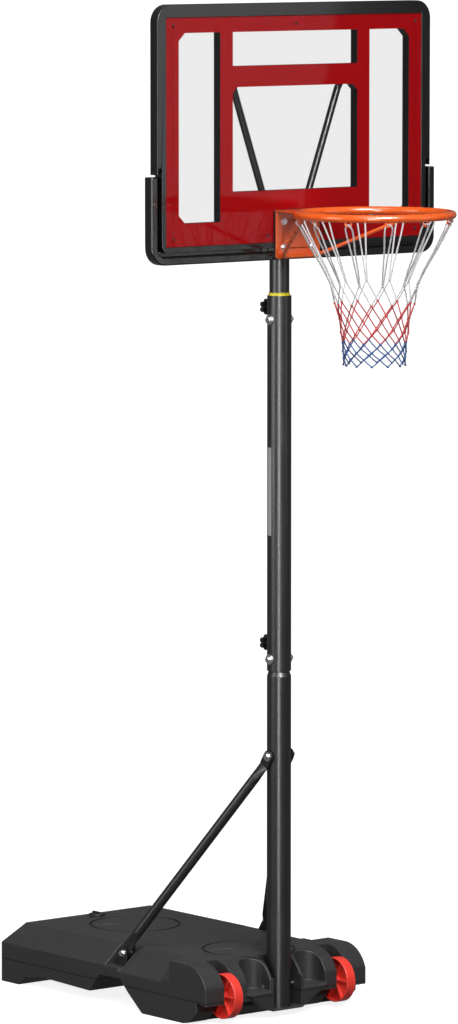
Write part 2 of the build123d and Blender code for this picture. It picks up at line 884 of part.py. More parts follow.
with BuildPart() as strut_foot_bolts:
    for _, sign in sides:
        for end in (-1, 1):
            face = sign * strut_foot_x + end * lug_outer / 2
            with BuildSketch(sideways(face)):
                with Locations((strut_foot_y, strut_foot_height)):
                    Circle(washer_radius - 4)
            extrude(amount=end * washer_thickness)
            with BuildSketch(sideways(face + end * washer_thickness)):
                with Locations((strut_foot_y, strut_foot_height)):
                    RegularPolygon(hex_across / 2, 6, major_radius=False)
            extrude(amount=end * hex_height)
        with BuildSketch(sideways(sign * strut_foot_x)):
            with Locations((strut_foot_y, strut_foot_height)):
                Circle(bolt_radius)
        extrude(amount=lug_outer / 2 + 1, both=True)
save(strut_foot_bolts.part, "strut_foot_bolts")

with BuildPart() as lug_spacers:
    for _, sign in sides:
        for end in (-1, 1):
            with BuildSketch(sideways(sign * strut_foot_x + end * tab_thickness / 2)):
                with Locations((strut_foot_y, strut_foot_height)):
                    Circle(lug_spacer_radius)
                    Circle(bolt_radius + bolt_gap, mode=Mode.SUBTRACT)
            extrude(amount=end * (lug_inner - tab_thickness) / 2)
save(lug_spacers.part, "lug_spacers")

# ---------------------------------------------------------------- backboard
bottom_of_windows = sheet_bottom + window_bottom
top_of_windows = sheet_top - window_top
centre_top = sheet_top - centre_window_top
centre_bottom = centre_top - centre_window_height


def windows(grow=0.0):
    """The four clear windows of the board, grown on every side."""
    with BuildSketch() as panes:
        for sign in (-1, 1):
            with BuildLine():
                Polyline(
                    (sign * (side_window_inner - grow), bottom_of_windows - grow),
                    (sign * (side_window_inner - grow), top_of_windows + grow),
                    (sign * (side_window_outer - window_chamfer), top_of_windows + grow),
                    (sign * (side_window_outer + grow), top_of_windows - window_chamfer),
                    (sign * (side_window_outer + grow), bottom_of_windows + window_chamfer),
                    (sign * (side_window_outer - window_chamfer), bottom_of_windows - grow),
                    close=True,
                )
            make_face()
        with Locations((0, top_of_windows - top_window_height / 2)):
            Rectangle(2 * (column_half + grow), top_window_height + 2 * grow)
        with BuildLine():
            Polyline(
                (-column_half - grow, centre_bottom - grow),
                (-column_half - grow, centre_top - 18),
                (-column_half + 18, centre_top + grow),
                (column_half - 18, centre_top + grow),
                (column_half + grow, centre_top - 18),
                (column_half + grow, centre_bottom - grow),
                close=True,
            )
        make_face()
    return panes.sketch


def board_outline():
    """The frame's outside: wide above, narrower inside the edge guard, with a mounting block."""
    shoulder = guard_top + 6
    channel_head = guard_top + 29
    with BuildSketch() as outline:
        with Locations((0, (frame_top + frame_bottom) / 2)):
            Rectangle(2 * frame_half, frame_top - frame_bottom)
        fillet(outline.vertices().group_by(Axis.Y)[-1], frame_corner)
        for _, sign in sides:
            with Locations((sign * (lip_half + 50), (shoulder + frame_bottom) / 2)):
                Rectangle(100, shoulder - frame_bottom, mode=Mode.SUBTRACT)
            with Locations(
                (sign * (lip_half + channel_width / 2), channel_head - channel_width / 2 - 25)
            ):
                SlotCenterToCenter(50, channel_width, rotation=90, mode=Mode.SUBTRACT)
        fillet(outline.vertices().group_by(Axis.Y)[0], 20)
        with Locations((0, guard_inner_bottom + bolt_gap + 20)):
            Rectangle(2 * block_half, 40)
    return outline.sketch


rim_bolt_places = [(x, z) for x in (-rim_bolt_x, rim_bolt_x) for z in rim_bolt_rows]
screw_places = [
    (x, z)
    for z in (sheet_bottom + screw_margin_z, sheet_top - screw_margin_z)
    for x in (screw_margin_x - sheet_half_width, sheet_half_width - screw_margin_x)
]
screw_places += [
    (0, sheet_top - screw_margin_z),
    (-rim_bolt_x - 54, sheet_bottom + screw_margin_z),
    (rim_bolt_x + 54, sheet_bottom + screw_margin_z),
]
film_front = board_front + sheet_thickness
film_back = film_front + film_thickness

with BuildPart() as backboard_sheet:
    with BuildSketch(facing(film_front)):
        with Locations((0, sheet_bottom + sheet_height / 2)):
            Rectangle(2 * sheet_half_width, sheet_height)
        with Locations(*rim_bolt_places):
            Circle(rim_bolt_radius + bolt_gap, mode=Mode.SUBTRACT)
        with Locations(*screw_places):
            Circle(screw_radius / 2 + bolt_gap, mode=Mode.SUBTRACT)
    extrude(amount=sheet_thickness)
save(backboard_sheet.part, "backboard_sheet")

with BuildPart() as backboard_print:
    with BuildSketch(facing(film_back)):
        with Locations((0, sheet_bottom + sheet_height / 2)):
            Rectangle(2 * sheet_half_width, sheet_height)
        add(windows(), mode=Mode.SUBTRACT)
        with Locations(*rim_bolt_places):
            Circle(rim_bolt_radius + bolt_gap, mode=Mode.SUBTRACT)
        with Locations(*screw_places):
            Circle(screw_radius / 2 + bolt_gap, mode=Mode.SUBTRACT)
    extrude(amount=film_thickness)
save(backboard_print.part, "backboard_print")

with BuildPart() as backboard_frame:
    with BuildSketch(facing(board_back)):
        add(board_outline())
    extrude(amount=frame_depth)
    # seat of the clear sheet
    with BuildSketch(facing(film_back)):
        with Locations((0, sheet_bottom + sheet_height / 2)):
            Rectangle(2 * sheet_half_width, sheet_height)
    extrude(amount=frame_depth, mode=Mode.SUBTRACT)
    # open back between the outer wall, the window walls and the bosses
    with BuildSketch(facing(board_back)):
        add(board_outline())
        offset(amount=-frame_wall, kind=Kind.INTERSECTION)
        add(windows(frame_wall), mode=Mode.SUBTRACT)
        with Locations(*rim_bolt_places):
            Circle(12, mode=Mode.SUBTRACT)
        with Locations(*screw_places):
            Circle(6, mode=Mode.SUBTRACT)
        for _, sign in sides:
            with Locations((sign * board_brace_top[0], board_brace_top[1])):
                Circle(14, mode=Mode.SUBTRACT)
    extrude(amount=board_back - film_back - frame_wall, mode=Mode.SUBTRACT)
    # windows, bolt holes and screw holes
    with BuildSketch(facing(board_back + 5)):
        add(windows())
        with Locations(*rim_bolt_places):
            Circle(rim_bolt_radius + bolt_gap)
    extrude(amount=frame_depth + 10, mode=Mode.SUBTRACT)
    with BuildSketch(facing(board_front)):
        with Locations(*screw_places):
            Circle(screw_radius / 2)
    extrude(amount=-screw_length - 1, mode=Mode.SUBTRACT)
save(backboard_frame.part, "backboard_frame")


# ---------------------------------------------------------------- edge guard round the lower half
def guard_outline(outer, bottom, corner, top=guard_top):
    """A U-shaped outline, open at the guard's top."""
    with BuildSketch() as outline:
        with Locations((0, (top + bottom) / 2)):
            Rectangle(2 * outer, top - bottom)
        fillet(outline.vertices().group_by(Axis.Y)[0], corner)
    return outline.sketch


with BuildPart() as edge_guard:
    with BuildSketch(facing(board_back)):
        add(guard_outline(guard_outer, guard_bottom, guard_corner))
        add(
            guard_outline(guard_inner, guard_inner_bottom, 30, over_top),
            mode=Mode.SUBTRACT,
        )
    extrude(amount=frame_depth - 1)
    fillet(edge_guard.faces().sort_by(Axis.Y)[0].edges(), 5)
    # web behind the channel, up to the frame's lip and round its mounting block
    with BuildSketch(facing(board_back)):
        add(guard_outline(guard_inner + 2, guard_inner_bottom - 2, 30))
        add(
            guard_outline(lip_half + bolt_gap, frame_bottom - bolt_gap, 20, over_top),
            mode=Mode.SUBTRACT,
        )
        with Locations((0, guard_inner_bottom + 25)):
            Rectangle(2 * (block_half + bolt_gap), 50, mode=Mode.SUBTRACT)
    extrude(amount=guard_web)
save(edge_guard.part, "edge_guard")

with BuildPart() as backboard_screws:
    with BuildSketch(facing(board_front)):
        with Locations(*screw_places):
            Circle(screw_radius)
    extrude(amount=screw_head)
    fillet(backboard_screws.edges().group_by(Axis.Y)[0], screw_head * 0.56)
    with BuildSketch(facing(board_front)):
        with Locations(*screw_places):
            Circle(screw_radius / 2 - running_gap)
    extrude(amount=-screw_length)
save(backboard_screws.part, "backboard_screws")

# ---------------------------------------------------------------- bracket on the upper pole
ear_x = upper_radius + bolt_gap
bracket_bottom = rim_bolt_rows[0] - 15
bracket_top = board_brace_foot[1] + 18
with BuildPart() as pole_bracket:
    with BuildSketch(facing(board_back + bracket_steel)):
        with Locations((0, (bracket_bottom + bracket_top) / 2)):
            RectangleRounded(2 * bracket_half_width, bracket_top - bracket_bottom, 8)
    extrude(amount=bracket_steel)
    for _, sign in sides:
        with BuildSketch(sideways(sign * ear_x)):
            with BuildLine():
                Polyline(
                    (board_back, bracket_bottom),
                    (board_back, bracket_top),
                    (4, bracket_bolt_rows[1] + 16),
                    (16, bracket_bolt_rows[1]),
                    (16, bracket_bolt_rows[0]),
                    (4, bracket_bolt_rows[0] - 16),
                    close=True,
                )
            make_face()
            for height in bracket_bolt_rows:
                with Locations((0, height)):
                    Circle(bolt_radius + bolt_gap, mode=Mode.SUBTRACT)
        extrude(amount=sign * bracket_steel)
    with BuildSketch(facing(board_back + bracket_steel + 1)):
        with Locations(*rim_bolt_places):
            Circle(rim_bolt_radius + bolt_gap)
        for _, sign in sides:
            with Locations((sign * board_brace_foot[0], board_brace_foot[1])):
                Circle(rim_bolt_radius + bolt_gap)
    extrude(amount=bracket_steel + 2, mode=Mode.SUBTRACT)
save(pole_bracket.part, "pole_bracket")

bracket_stack = ear_x + bracket_steel
with BuildPart() as bracket_bolts:
    for height in bracket_bolt_rows:
        add(head_and_nut(height, bracket_stack))
save(bracket_bolts.part, "bracket_bolts")

# ---------------------------------------------------------------- backboard braces
for side, sign in sides:
    foot_y = pole_y + board_back + bracket_steel + tab_thickness / 2
    top_y = pole_y + board_back + tab_thickness / 2
    board_brace = pressed_tube(
        Vector(sign * board_brace_foot[0], foot_y, board_brace_foot[1]),
        Vector(sign * board_brace_top[0], top_y, board_brace_top[1]),
        Vector(0, 1, 0),
        (brace_tab_half, brace_tab_straight, brace_taper),
        (board_brace_radius, pole_wall),
        rim_bolt_radius + bolt_gap,
        Vector(0, board_brace_radius, 0),
    )
    save(board_brace, f"backboard_brace_{side}")

with BuildPart() as brace_screws:
    for _, sign in sides:
        for place, face, grip in (
            (board_brace_foot, board_back + bracket_steel, bracket_steel + 9),
            (board_brace_top, board_back, 0),
        ):
            with BuildSketch(facing(face + tab_thickness + small_hex_height)):
                with Locations((sign * place[0], place[1])):
                    RegularPolygon(small_hex_across / 2, 6, major_radius=False)
            extrude(amount=small_hex_height)
            with BuildSketch(facing(face + tab_thickness)):
                with Locations((sign * place[0], place[1])):
                    Circle(rim_bolt_radius)
            extrude(amount=tab_thickness + grip)
save(brace_screws.part, "brace_screws")

# ---------------------------------------------------------------- ring and its bracket
with BuildPart() as rim_spacer:
    with BuildSketch(facing(board_front)):
        with Locations((0, ring_height - plate_height / 2)):
            RectangleRounded(2 * plate_half_width + 4, plate_height + 2, 8)
        with Locations(*rim_bolt_places):
            Circle(rim_bolt_radius + bolt_gap, mode=Mode.SUBTRACT)
    extrude(amount=spacer_thickness)
save(rim_spacer.part, "rim_spacer")

with BuildPart() as rim_ring:
    with BuildSketch(sideways(0)):
        with Locations((ring_centre - ring_radius, ring_height)):
            Circle(ring_rod)
            Circle(ring_rod - ring_wall, mode=Mode.SUBTRACT)
    revolve(axis=Axis((0, pole_y + ring_centre, 0), (0, 0, 1)))
save(rim_ring.part, "rim_ring")

with BuildPart() as rim_bracket:
    with BuildSketch(facing(spacer_front)):
        with Locations((0, ring_height - plate_height / 2)):
            RectangleRounded(2 * plate_half_width, plate_height, 8)
        with Locations((0, ring_height - 10)):
            Rectangle(2 * plate_half_width, 20)
        with Locations(*rim_bolt_places):
            Circle(rim_bolt_radius + bolt_gap, mode=Mode.SUBTRACT)
    extrude(amount=plate_thickness)
    # flange from the plate's top edge out to the ring
    with BuildSketch(level(ring_height - plate_thickness)):
        with BuildLine():
            Polyline(
                (-plate_half_width, spacer_front),
                (-plate_half_width, plate_front - 10),
                (-ring_radius * 0.56, ring_centre + ring_radius * 0.83),
                (ring_radius * 0.56, ring_centre + ring_radius * 0.83),
                (plate_half_width, plate_front - 10),
                (plate_half_width, spacer_front),
                close=True,
            )
        make_face()
        with Locations((0, ring_centre)):
            Circle(ring_radius, mode=Mode.SUBTRACT)
    extrude(amount=plate_thickness)
    with BuildSketch(sideways(0)):
        with Locations((ring_centre - ring_radius, ring_height)):
            Circle(ring_rod)
    revolve(axis=Axis((0, pole_y + ring_centre, 0), (0, 0, 1)), mode=Mode.SUBTRACT)
save(rim_bracket.part, "rim_bracket")

rod_y = plate_front - brace_rod
rod_height = plate_bottom + brace_rod + 1
rod_corner = plate_half_width - 20
rod_end = (ring_radius * cos(radians(18)), ring_centre + ring_radius * sin(radians(18)))
rod_end_height = ring_height - ring_rod + 2
with BuildPart() as rim_brace:
    with BuildLine():
        FilletPolyline(
            (-rod_end[0], pole_y + rod_end[1], rod_end_height),
            (-rod_corner, pole_y + rod_y, rod_height),
            (rod_corner, pole_y + rod_y, rod_height),
            (rod_end[0], pole_y + rod_end[1], rod_end_height),
            radius=30,
        )
    start = Vector(-rod_end[0], pole_y + rod_end[1], rod_end_height)
    corner = Vector(-rod_corner, pole_y + rod_y, rod_height)
    with BuildSketch(Plane(start, z_dir=corner - start)):
        Circle(brace_rod)
    sweep()
save(rim_brace.part, "rim_brace")

with BuildPart() as net_hooks:
    for index in range(hook_count):
        angle = radians(360 / hook_count * index - 90)
        hook_x = ring_radius * cos(angle)
        hook_y = ring_centre + ring_radius * sin(angle)
        outward = Vector(cos(angle), sin(angle), 0)
        along = Vector(-sin(angle), cos(angle), 0)
        centre = Vector(hook_x, pole_y + hook_y, ring_height - ring_rod - 4)
        with BuildSketch(Plane(centre + along * hook_radius, x_dir=outward, z_dir=(0, 0, 1))):
            Circle(hook_wire)
        revolve(axis=Axis(centre, -outward), revolution_arc=180)
        for end in (-1, 1):
            with BuildSketch(
                Plane(centre + along * hook_radius * end, x_dir=outward, z_dir=(0, 0, 1))
            ):
                Circle(hook_wire)
            extrude(amount=6)
save(net_hooks.part, "net_hooks")

with BuildPart() as rim_bolts:
    for x, z in rim_bolt_places:
        for place, direction in (
            (plate_front, 1),
            (board_back + bracket_steel, -1),
        ):
            with BuildSketch(facing(place)):
                with Locations((x, z)):
                    Circle(wide_washer_radius)
            extrude(amount=direction * wide_washer_thickness)
            with BuildSketch(facing(place - direction * wide_washer_thickness)):
                with Locations((x, z)):
                    RegularPolygon(small_hex_across / 2, 6, major_radius=False)
            extrude(amount=direction * hex_height)
        with BuildSketch(facing(board_back + bracket_steel)):
            with Locations((x, z)):
                Circle(rim_bolt_radius)
        extrude(amount=board_back + bracket_steel - plate_front)
save(rim_bolts.part, "rim_bolts")

# ---------------------------------------------------------------- net, a funnel open at both ends
net_rows = [(net_top, ring_radius - net_gap), *net_steps]
with BuildPart() as net:
    with BuildSketch(sideways(0)):
        with BuildLine():
            outer = [(ring_centre - radius - net_skin, height) for height, radius in net_rows]
            inner = [(ring_centre - radius, height) for height, radius in reversed(net_rows)]
            Polyline(*outer, *inner, close=True)
        make_face()
    revolve(axis=Axis((0, pole_y + ring_centre, 0), (0, 0, 1)))
save(net.part, "net")
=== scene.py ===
"""A portable basketball hoop in its finishes, in a plain white studio.

A water-filled base on two wheels holds a three-piece black pole. The pole carries a framed
backboard with a red print behind a clear sheet, an orange ring, and a knotted net.
"""

import random
from math import cos, pi, radians, sin

import bmesh
import bpy
from mathutils import Matrix, Vector


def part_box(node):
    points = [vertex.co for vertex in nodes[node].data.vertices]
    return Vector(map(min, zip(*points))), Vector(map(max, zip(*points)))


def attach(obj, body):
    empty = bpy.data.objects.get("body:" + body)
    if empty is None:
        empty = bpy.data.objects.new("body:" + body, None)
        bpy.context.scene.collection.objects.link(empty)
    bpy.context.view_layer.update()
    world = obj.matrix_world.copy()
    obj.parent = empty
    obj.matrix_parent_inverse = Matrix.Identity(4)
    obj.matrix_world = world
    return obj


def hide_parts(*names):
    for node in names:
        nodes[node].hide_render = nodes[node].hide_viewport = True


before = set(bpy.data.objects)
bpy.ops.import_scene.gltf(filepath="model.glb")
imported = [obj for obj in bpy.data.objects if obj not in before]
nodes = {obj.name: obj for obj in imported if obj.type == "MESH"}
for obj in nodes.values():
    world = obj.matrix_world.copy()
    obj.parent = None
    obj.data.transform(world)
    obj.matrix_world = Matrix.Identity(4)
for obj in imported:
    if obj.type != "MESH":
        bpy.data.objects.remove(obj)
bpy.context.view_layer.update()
bpy.ops.object.select_all(action="DESELECT")

# ---------------------------------------------------------------- studio
# A wide flat floor that glows white, one broad sun, two soft boxes for form and three that only
# add gloss.
# The camera is a long lens, a little above the backboard, on the court side and to the left.
camera_tilt = 6.054
camera_pan = -39.03
scene = bpy.context.scene
scene.view_settings.view_transform = "Standard"

bpy.ops.object.camera_add(
    location=(-11.909, -14.599, 3.5716),
    rotation=(radians(90 - camera_tilt), 0, radians(camera_pan)),
)
camera = bpy.context.object
camera.data.lens = 212.73
camera.data.clip_end = 1500
scene.camera = camera

studio_world = bpy.data.worlds.new("studio_world")
studio_world.use_nodes = True
studio_sky = studio_world.node_tree.nodes["Background"]
studio_sky.inputs["Color"].default_value = (1, 1, 1, 1)
# the backdrop looks white, and gives only a faint fill light
seen_or_felt = studio_world.node_tree.nodes.new("ShaderNodeMapRange")
seen_or_felt.inputs["To Min"].default_value = 0.14
seen_or_felt.inputs["To Max"].default_value = 1.1
studio_rays = studio_world.node_tree.nodes.new("ShaderNodeLightPath")
sky_links = studio_world.node_tree.links
sky_links.new(studio_rays.outputs["Is Camera Ray"], seen_or_felt.inputs["Value"])
sky_links.new(seen_or_felt.outputs["Result"], studio_sky.inputs["Strength"])
scene.world = studio_world

bpy.ops.mesh.primitive_plane_add(size=1200)
studio_floor = bpy.context.object
studio_floor.name = "studio_floor"
floor_paint = bpy.data.materials.new("floor_paint")
floor_paint.use_nodes = True
floor_shader = floor_paint.node_tree.nodes["Principled BSDF"]
floor_shader.inputs["Base Color"].default_value = (0.45, 0.45, 0.45, 1)
floor_shader.inputs["Roughness"].default_value = 1
floor_shader.inputs["Specular IOR Level"].default_value = 0
floor_shader.inputs["Emission Color"].default_value = (1, 1, 1, 1)
floor_shader.inputs["Emission Strength"].default_value = 0.86
studio_floor.data.materials.append(floor_paint)
studio_floor.visible_glossy = False
studio_floor.visible_diffuse = False

bpy.ops.object.light_add(type="SUN", rotation=(radians(30), radians(-22), 0))
studio_sun = bpy.context.object
studio_sun.data.energy = 2.0
studio_sun.data.angle = radians(50)


def soft_box(name, place, target, size, radiance, gloss_only=False):
    """A flat light that faces a point, as bright as its radiance says."""
    bpy.ops.object.light_add(type="AREA", location=place)
    box = bpy.context.object
    box.name = name
    box.data.shape = "RECTANGLE"
    box.data.size, box.data.size_y = size
    box.data.energy = radiance * pi * size[0] * size[1]
    box.rotation_euler = (Vector(target) - Vector(place)).to_track_quat("-Z", "Y").to_euler()
    box.visible_camera = False
    box.visible_diffuse = not gloss_only
    return box


soft_box("key_box", (-1.5, -4.6, 4.7), (0, -0.6, 2.7), (2.2, 2.2), 10)
soft_box("ring_box", (-1.5, -3.8, 4.4), (0, -0.75, 2.57), (1.3, 1.3), 45, gloss_only=True)
soft_box("strip_box", (-4.4, -5.2, 1.8), (0, -0.2, 1.7), (1.3, 5.0), 13, gloss_only=True)
soft_box("left_box", (-6.0, 0.5, 2.6), (0, 0.2, 1.0), (2.5, 4.0), 4.2)
board_box = soft_box(
    "board_box", (1.495, -2.89, 2.6), (-0.45, -0.62, 2.78), (1.2, 2.4), 0.85, gloss_only=True
)
board_box.rotation_euler.rotate_axis("Z", radians(-9.8))

# ---------------------------------------------------------------- base tank
# One blow-moulded shell of charcoal polyethylene, filled with water through the cap at the back.
# Its edges are rolled over by the mould, and its skin has a fine satin grain.


def make(tree, kind, inputs=(), **settings):
    """A shader node with its settings, and its inputs set to values or linked to sockets."""
    made = tree.nodes.new("ShaderNode" + kind)
    for setting, value in settings.items():
        setattr(made, setting, value)
    for key, value in dict(inputs).items():
        if isinstance(value, bpy.types.NodeSocket):
            tree.links.new(value, made.inputs[key])
        else:
            made.inputs[key].default_value = value
    return made


def new_group(name, inputs, outputs):
    """An empty shader group with its sockets: (name, kind, value) in and (name, kind) out."""
    tree = bpy.data.node_groups.new(name, "ShaderNodeTree")
    for socket, kind, value in inputs:
        made = tree.interface.new_socket(name=socket, in_out="INPUT", socket_type=kind)
        made.default_value = value
    for socket, kind in outputs:
        tree.interface.new_socket(name=socket, in_out="OUTPUT", socket_type=kind)
    return tree, tree.nodes.new("NodeGroupInput").outputs, tree.nodes.new("NodeGroupOutput").inputs


# the satin grain of a moulded or powder-coated skin
grain, grain_in, grain_out = new_group(
    "skin_grain",
    (
        ("Grain Size", "NodeSocketFloat", 0.001),
        ("Grain Depth", "NodeSocketFloat", 0.0001),
        ("Roughness", "NodeSocketFloat", 0.4),
        ("Unevenness", "NodeSocketFloat", 0.1),
    ),
    (("Tone", "NodeSocketFloat"), ("Roughness", "NodeSocketFloat"), ("Normal", "NodeSocketVector")),
)
grain_place = make(grain, "TexCoord").outputs["Object"]
grain_scale = make(grain, "Math", {0: 1.0, 1: grain_in["Grain Size"]}, operation="DIVIDE")
pebbles = make(grain, "TexNoise", {"Vector": grain_place, "Scale": grain_scale.outputs[0], "Detail": 3})
clouds = make(grain, "TexNoise", {"Vector": grain_place, "Scale": 7.0, "Detail": 5, "Roughness": 0.6})
dents = make(
    grain,
    "Bump",
    {"Height": pebbles.outputs["Fac"], "Distance": grain_in["Grain Depth"], "Strength": 1.0},
)
spread = make(grain, "Math", {0: clouds.outputs["Fac"], 1: 0.5}, operation="SUBTRACT")
uneven = make(
    grain,
    "Math",
    {0: spread.outputs[0], 1: grain_in["Unevenness"], 2: grain_in["Roughness"]},
    operation="MULTIPLY_ADD",
    use_clamp=True,
)
tone = make(
    grain,
    "Math",
    {0: spread.outputs[0], 1: grain_in["Unevenness"], 2: 1.0},
    operation="MULTIPLY_ADD",
)
grain.links.new(tone.outputs[0], grain_out["Tone"])
grain.links.new(uneven.outputs[0], grain_out["Roughness"])
grain.links.new(dents.outputs[0], grain_out["Normal"])

# corners and edges rubbed lighter by handling
edge_wear, wear_in, wear_out = new_group(
    "edge_wear",
    (("Reach", "NodeSocketFloat", 0.002), ("Amount", "NodeSocketFloat", 0.5)),
    (("Edge", "NodeSocketFloat"),),
)
rolled = make(edge_wear, "Bevel", {"Radius": wear_in["Reach"]}, samples=4)
facing = make(edge_wear, "NewGeometry")
likeness = make(
    edge_wear,
    "VectorMath",
    {0: rolled.outputs[0], 1: facing.outputs["Normal"]},
    operation="DOT_PRODUCT",
)
turned = make(edge_wear, "Math", {0: 1.0, 1: likeness.outputs["Value"]}, operation="SUBTRACT")
rubbed = make(
    edge_wear,
    "TexNoise",
    {"Vector": make(edge_wear, "TexCoord").outputs["Object"], "Scale": 60.0, "Detail": 4},
)
patchy = make(
    edge_wear,
    "MapRange",
    {"Value": rubbed.outputs["Fac"], "From Min": 0.35, "From Max": 0.65, "To Min": 0.35},
)
strong = make(edge_wear, "Math", {0: turned.outputs[0], 1: 9.0}, operation="MULTIPLY", use_clamp=True)
broken = make(edge_wear, "Math", {0: strong.outputs[0], 1: patchy.outputs[0]}, operation="MULTIPLY")
edge = make(edge_wear, "Math", {0: broken.outputs[0], 1: wear_in["Amount"]}, operation="MULTIPLY")
edge_wear.links.new(edge.outputs[0], wear_out["Edge"])

# dust that settles on faces that look up
dust, dust_in, dust_out = new_group(
    "settled_dust", (("Amount", "NodeSocketFloat", 0.1),), (("Dust", "NodeSocketFloat"),)
)
up_share = make(dust, "SeparateXYZ", {0: make(dust, "NewGeometry").outputs["Normal"]})
specks = make(
    dust,
    "TexNoise",
    {"Vector": make(dust, "TexCoord").outputs["Object"], "Scale": 28.0, "Detail": 8, "Roughness": 0.7},
)
settled = make(
    dust, "MapRange", {"Value": specks.outputs["Fac"], "From Min": 0.4, "From Max": 0.75}
)
upward = make(
    dust, "MapRange", {"Value": up_share.outputs["Z"], "From Min": 0.55, "From Max": 1.0}
)
lying = make(dust, "Math", {0: settled.outputs[0], 1: upward.outputs[0]}, operation="MULTIPLY")
thin_dust = make(dust, "Math", {0: lying.outputs[0], 1: dust_in["Amount"]}, operation="MULTIPLY")
dust.links.new(thin_dust.outputs[0], dust_out["Dust"])


def use_group(tree, group, **inputs):
    """One of the shared groups, placed in a material with its own values."""
    placed = tree.nodes.new("ShaderNodeGroup")
    placed.node_tree = group
    for key, value in inputs.items():
        placed.inputs[key.replace("_", " ").title()].default_value = value
    return placed.outputs


def blended(tree, factor, first, second):
    """Two colours mixed by a mask or a share."""
    mixed = make(tree, "Mix", {0: factor, 6: first, 7: second}, data_type="RGBA")
    return mixed.outputs[2]


def finish(name, colour, worn, grains, roughness, wear=0.4, dusty=0.1, **plain):
    """A moulded, painted or coated finish: grain, rubbed edges and a little dust.

    grains is (size, depth) in metres, and plain sets the shader's own sockets.
    """
    material = bpy.data.materials.new(name)
    material.use_nodes = True
    tree = material.node_tree
    shader = tree.nodes["Principled BSDF"]
    skin = use_group(
        tree, grain, grain_size=grains[0], grain_depth=grains[1], roughness=roughness, unevenness=0.22
    )
    rub = use_group(tree, edge_wear, reach=0.0025, amount=wear)
    dirt = use_group(tree, dust, amount=dusty)
    deep = blended(tree, skin["Tone"], (*[c * 0.55 for c in colour], 1), (*colour, 1))
    rubbed_off = blended(tree, rub["Edge"], deep, (*worn, 1))
    coloured = blended(tree, dirt["Dust"], rubbed_off, (0.42, 0.4, 0.38, 1))
    tree.links.new(coloured, shader.inputs["Base Color"])
    tree.links.new(skin["Roughness"], shader.inputs["Roughness"])
    tree.links.new(skin["Normal"], shader.inputs["Normal"])
    for socket, value in plain.items():
        shader.inputs[socket.replace("_", " ")].default_value = value
    return material


def dress(material, *names):
    """Gives CAD pieces a finish."""
    for name in names:
        nodes[name].data.materials.clear()
        nodes[name].data.materials.append(material)


def only_select(piece):
    """Makes one object the only selected and the active one."""
    bpy.ops.object.select_all(action="DESELECT")
    piece.select_set(True)
    bpy.context.view_layer.objects.active = piece


def rolled_copy(source, name, width, angle=32, share=None, segments=3):
    """A merged copy of a CAD piece whose hard edges are rolled over, as mould or press leaves them.

    share says of an edge's middle how much of the width it gets, from 0 to 1.
    """
    piece = bpy.data.objects.new(name, nodes[source].data.copy())
    scene.collection.objects.link(piece)
    only_select(piece)
    bpy.ops.mesh.customdata_custom_splitnormals_clear()
    bpy.ops.object.mode_set(mode="EDIT")
    bpy.ops.mesh.select_all(action="SELECT")
    bpy.ops.mesh.remove_doubles(threshold=0.00002)
    bpy.ops.object.mode_set(mode="OBJECT")
    shape = bmesh.new()
    shape.from_mesh(piece.data)
    weights = shape.edges.layers.float.new("bevel_weight_edge")
    for line in shape.edges:
        middle = (line.verts[0].co + line.verts[1].co) / 2
        hard = len(line.link_faces) == 2 and line.calc_face_angle() > radians(angle)
        if hard:
            line[weights] = share(middle) if share else 1
    shape.to_mesh(piece.data)
    shape.free()
    rolled_edges = piece.modifiers.new("rolled_edges", "BEVEL")
    rolled_edges.width = width
    rolled_edges.segments = segments
    rolled_edges.limit_method = "WEIGHT"
    rolled_edges.use_clamp_overlap = False
    bpy.ops.object.modifier_apply(modifier="rolled_edges")
    bpy.ops.object.shade_smooth_by_angle(angle=radians(40))
    # the wide faces stay flat, and only the rolled edges turn the light
    flat_faces = piece.modifiers.new("flat_faces", "WEIGHTED_NORMAL")
    flat_faces.keep_sharp = True
    flat_faces.weight = 100
    bpy.ops.object.modifier_apply(modifier="flat_faces")
    return piece


def hand_over(piece, material, body, source):
    """Finishes a new piece that stands for a CAD piece."""
    piece.data.materials.clear()
    piece.data.materials.append(material)
    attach(piece, body)
    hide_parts(source)


tank_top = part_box("base_tank")[1].z
pole_y = (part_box("lower_pole")[0].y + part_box("lower_pole")[1].y) / 2
groove_radius = 0.148
groove_width = 0.007
groove_centres = (0.15, 0.73)
edge_margin = 0.004  # an edge this near the top face or an engraved ring counts as part of it
groove_reach = groove_radius + edge_margin
parting_height = 0.076
parting_half_width = 0.0012
line_fade = 1.6
nose_depth = 0.16
rear_depth = 0.95
flank_start = 0.25
full_roll = 1
slight_roll = 0.2
engraved_roll = 0.07


def tank_roll(middle):
    """How far a tank edge is rolled: most at the top's rear edge, least at the engraved rings."""
    depth = middle.y - pole_y
    if middle.z > tank_top - edge_margin and depth > nose_depth:
        if any(
            Vector((middle.x, depth - centre)).length < groove_reach for centre in groove_centres
        ):
            return engraved_roll
        if depth > rear_depth and abs(middle.x) <= flank_start:
            return full_roll
    return slight_roll


tank_plastic = finish(
    "tank_plastic",
    (0.033, 0.033, 0.035),
    (0.16, 0.16, 0.165),
    (0.0011, 0.00012),
    0.46,
    wear=0.5,
    dusty=0.05,
    Specular_IOR_Level=0.34,
)

